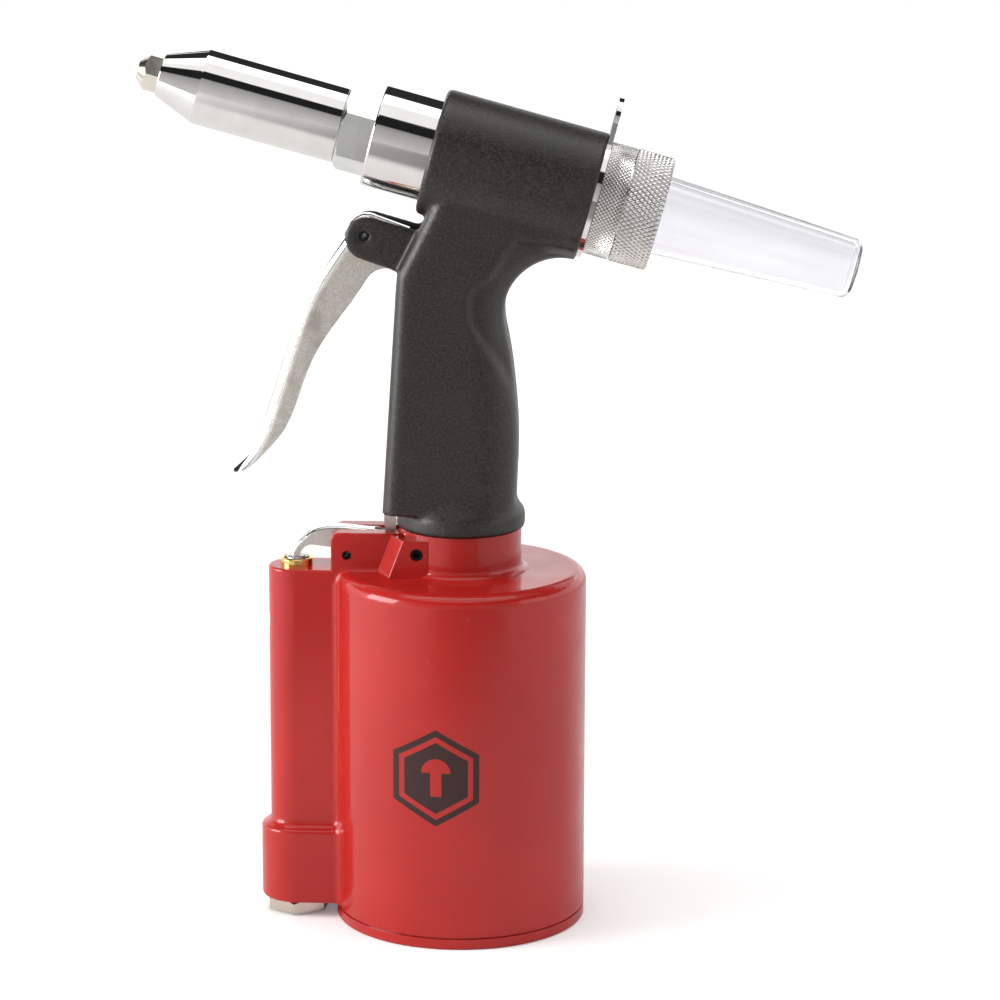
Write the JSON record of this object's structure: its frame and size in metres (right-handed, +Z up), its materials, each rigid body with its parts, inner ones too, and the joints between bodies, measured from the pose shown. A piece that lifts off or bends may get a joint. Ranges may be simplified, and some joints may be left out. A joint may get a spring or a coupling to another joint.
{
  "type": "pneumatic rivet gun",
  "caption": "Hydro-pneumatic blind rivet gun: upright air cylinder, black grip with a hinged trigger lever, tilted chrome pulling head and clear mandrel collector.",
  "frame": {"origin": "centre of the air cylinder's flat base", "axes": "+Z up the cylinder axis, nose towards -X, near side towards -Y"},
  "size_m": [0.2263, 0.08, 0.2789],
  "materials": {
    "red_enamel": "gloss enamel",
    "black_coat": "matt textured coat",
    "chrome_plate": "bright chrome",
    "nickel_plate": "satin nickel",
    "polished_steel": "polished edges, satin sides",
    "dark_steel": "black oxide",
    "machined_steel": "turned",
    "hardened_steel": "hardened",
    "spring_steel": "drawn wire",
    "machined_aluminium": "turned",
    "brass": "turned",
    "seal_rubber": "moulded",
    "bumper_urethane": "moulded",
    "clear_plastic": "clear moulded"
  },
  "bodies": {
    "frame": {"air_cylinder": "red_enamel", "cylinder_cap": "red_enamel", "cap_seal": "seal_rubber", "bumper_pad": "bumper_urethane", "ram_gland": "machined_aluminium", "ram_seals": "seal_rubber", "neck_set_screws": "dark_steel", "inlet_bushing": "nickel_plate", "valve_spring": "spring_steel", "valve_sleeve": "machined_aluminium", "valve_sleeve_seals": "seal_rubber", "valve_bush": "brass", "rocker_pin": "dark_steel", "trigger_pin": "dark_steel", "grip_frame": "black_coat", "oil_plug": "dark_steel", "head_sleeve": "chrome_plate", "rod_seal": "seal_rubber", "lock_nut": "chrome_plate", "frame_head": "chrome_plate", "nosepiece": "nickel_plate", "return_spring": "spring_steel", "frame_cap": "nickel_plate", "collector_oring": "seal_rubber", "hanger_plate": "polished_steel"},
    "trigger": {"trigger": "polished_steel"},
    "trigger_rod": {"trigger_rod": "polished_steel", "link_pin": "dark_steel"},
    "rocker": {"rocker_lever": "polished_steel"},
    "valve_stem": {"valve_stem": "machined_steel", "valve_stem_seals": "seal_rubber"},
    "air_piston": {"air_piston": "machined_aluminium", "air_piston_seal": "seal_rubber", "ram": "machined_steel", "piston_nut": "machined_steel"},
    "pull_piston": {"hydraulic_piston": "machined_steel", "hydraulic_seal": "seal_rubber", "jaw_coupler": "machined_steel", "jaw_case": "machined_steel", "jaw_pusher_spring": "spring_steel"},
    "jaw_1": {"jaw_1": "hardened_steel"},
    "jaw_2": {"jaw_2": "hardened_steel"},
    "jaw_3": {"jaw_3": "hardened_steel"},
    "jaw_pusher": {"jaw_pusher": "machined_steel"},
    "collector": {"collector_collar": "nickel_plate", "collector_tube": "clear_plastic"}
  },
  "joints": [
    {"name": "trigger_pivot", "type": "hinge", "parent": "frame", "child": "trigger", "pos_m": [-0.03, 0, 0.222], "axis": [0, -1, 0], "range_deg": [0, 12], "stiffness_Nm_per_rad": 1.2, "springref_deg": -14.32},
    {"name": "trigger_rod_slide", "type": "slide", "parent": "frame", "child": "trigger_rod", "axis": [0.0616, 0, 0.9981], "range_m": [0, 0.00257]},
    {"name": "rocker_pivot", "type": "hinge", "parent": "frame", "child": "rocker", "pos_m": [-0.0358, 0, 0.12005], "axis": [0, -1, 0], "range_deg": [0, 11.36]},
    {"name": "valve_stem_slide", "type": "slide", "parent": "frame", "child": "valve_stem", "axis": [0, 0, -1], "range_m": [0, 0.00328], "deforming": ["valve_spring"]},
    {"name": "air_piston_slide", "type": "slide", "parent": "frame", "child": "air_piston", "axis": [0, 0, 1], "range_m": [0, 0.07983]},
    {"name": "pull_piston_slide", "type": "slide", "parent": "frame", "child": "pull_piston", "axis": [0.965, 0, -0.2622], "range_m": [0, 0.01501], "stiffness_N_per_m": 1500, "springref_m": -0.01, "deforming": ["return_spring"]},
    {"name": "jaw_1_slide", "type": "slide", "parent": "pull_piston", "child": "jaw_1", "axis": [-0.9897, 0.0857, 0.1151], "range_m": [0, 0.0015]},
    {"name": "jaw_2_slide", "type": "slide", "parent": "pull_piston", "child": "jaw_2", "axis": [-0.9118, 0.0857, 0.4015], "range_m": [0, 0.0015]},
    {"name": "jaw_3_slide", "type": "slide", "parent": "pull_piston", "child": "jaw_3", "axis": [-0.9507, -0.1713, 0.2583], "range_m": [0, 0.0015]},
    {"name": "jaw_pusher_slide", "type": "slide", "parent": "pull_piston", "child": "jaw_pusher", "axis": [-0.965, 0, 0.2622], "range_m": [0, 0.00148], "deforming": ["jaw_pusher_spring"]},
    {"name": "collector_pull", "type": "slide", "parent": "frame", "child": "collector", "axis": [0.965, 0, -0.2622], "range_m": [0, 0.02]}
  ],
  "couplings": [
    {"joint": "trigger_rod_slide", "follows": "trigger_pivot", "m_per_rad": 0.012247},
    {"joint": "rocker_pivot", "follows": "trigger_pivot", "ratio": 0.94417},
    {"joint": "valve_stem_slide", "follows": "trigger_pivot", "m_per_rad": 0.015613},
    {"joint": "pull_piston_slide", "follows": "air_piston_slide", "ratio": 0.18789},
    {"joint": "jaw_1_slide", "follows": "air_piston_slide", "ratio": 0.018789},
    {"joint": "jaw_2_slide", "follows": "air_piston_slide", "ratio": 0.018789},
    {"joint": "jaw_3_slide", "follows": "air_piston_slide", "ratio": 0.018789},
    {"joint": "jaw_pusher_slide", "follows": "air_piston_slide", "ratio": 0.018513}
  ]
}
